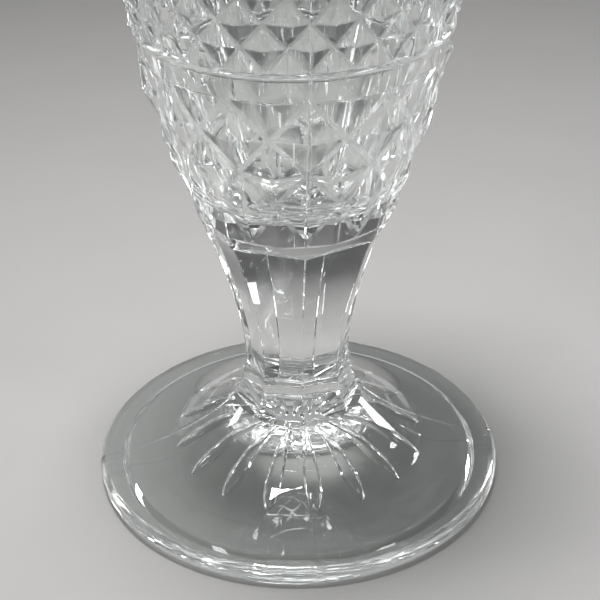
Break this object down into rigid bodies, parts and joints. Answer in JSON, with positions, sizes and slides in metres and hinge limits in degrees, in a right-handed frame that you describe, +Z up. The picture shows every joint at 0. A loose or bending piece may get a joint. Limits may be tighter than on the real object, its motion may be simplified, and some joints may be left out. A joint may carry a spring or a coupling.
{
  "type": "footed glass vase",
  "caption": "Footed pressed glass vase with a round rayed foot, a panelled flared stem and a deep bowl in diamond relief with a plain band.",
  "frame": {"origin": "centre of the underside of the foot, on the surface that the vase stands on", "axes": "+Z up along the axis of the vase, -Y through one mould seam, the one nearest the front"},
  "size_m": [0.1046, 0.1046, 0.205],
  "materials": {
    "clear_glass": "clear pressed glass, fire polished, with a faint cool grey-green tint in thick places"
  },
  "bodies": {
    "root": {"foot": "clear_glass", "stem_collar": "clear_glass", "stem": "clear_glass", "bowl_collar": "clear_glass", "large_diamond_bowl": "clear_glass", "plain_band": "clear_glass", "small_diamond_wall": "clear_glass", "lip": "clear_glass"}
  },
  "joints": []
}
